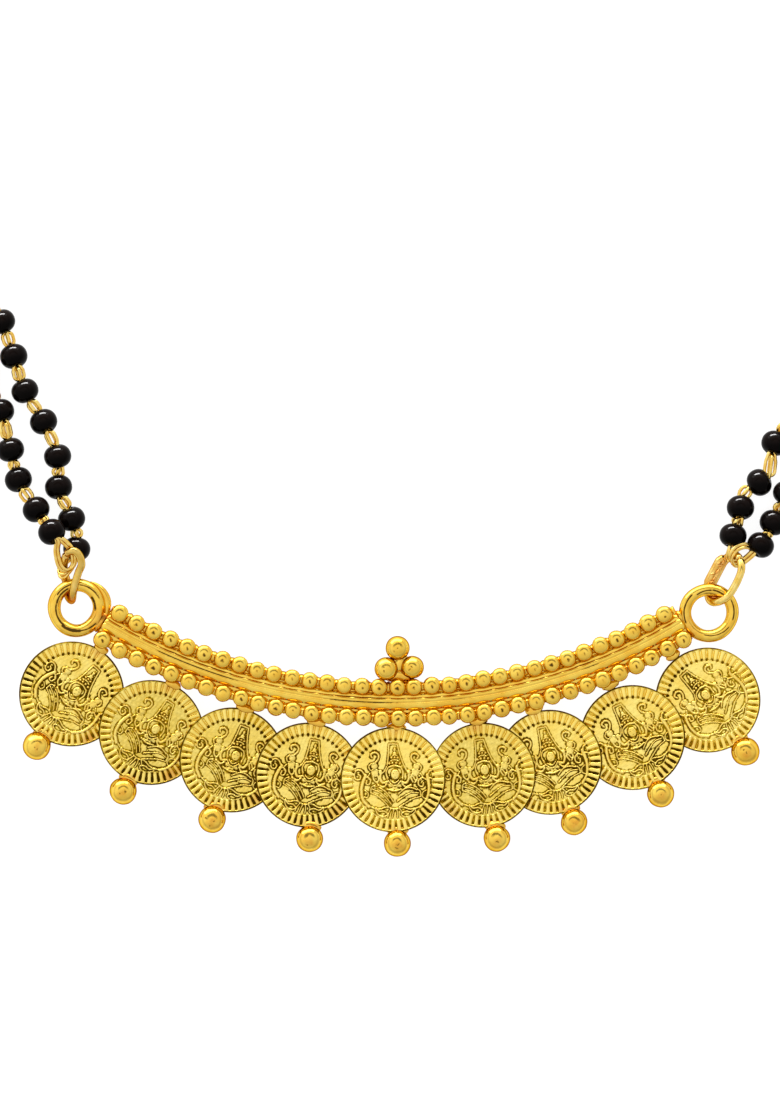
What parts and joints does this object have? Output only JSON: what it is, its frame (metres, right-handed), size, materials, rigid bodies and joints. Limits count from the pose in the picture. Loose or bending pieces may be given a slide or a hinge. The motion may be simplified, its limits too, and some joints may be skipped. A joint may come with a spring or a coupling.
{
  "type": "temple necklace",
  "caption": "Curved gold bar of overlapping stamped coins with granule edges, hung by end rings and oval links from two strands a side of black beads, closed by a barrel clasp.",
  "frame": {"origin": "on the table, under the middle of the laid-out loop's bounding box", "axes": "+X to the right as seen from the front, +Y from the pendant up to the clasp, +Z out of the front face towards the viewer"},
  "size_m": [0.133, 0.1825, 0.0049],
  "materials": {
    "gold": "bright yellow gold plating over silver or brass, polished on the high spots, solder darkened in the joints",
    "black_bead": "opaque black glass, fire polished, on gold-plated wire"
  },
  "bodies": {
    "root": {"pendant": "gold", "jump_link_left": "gold", "jump_link_right": "gold", "strand_left_inner": "black_bead", "strand_left_outer": "black_bead", "strand_right_inner": "black_bead", "strand_right_outer": "black_bead", "clasp": "gold"}
  },
  "joints": []
}
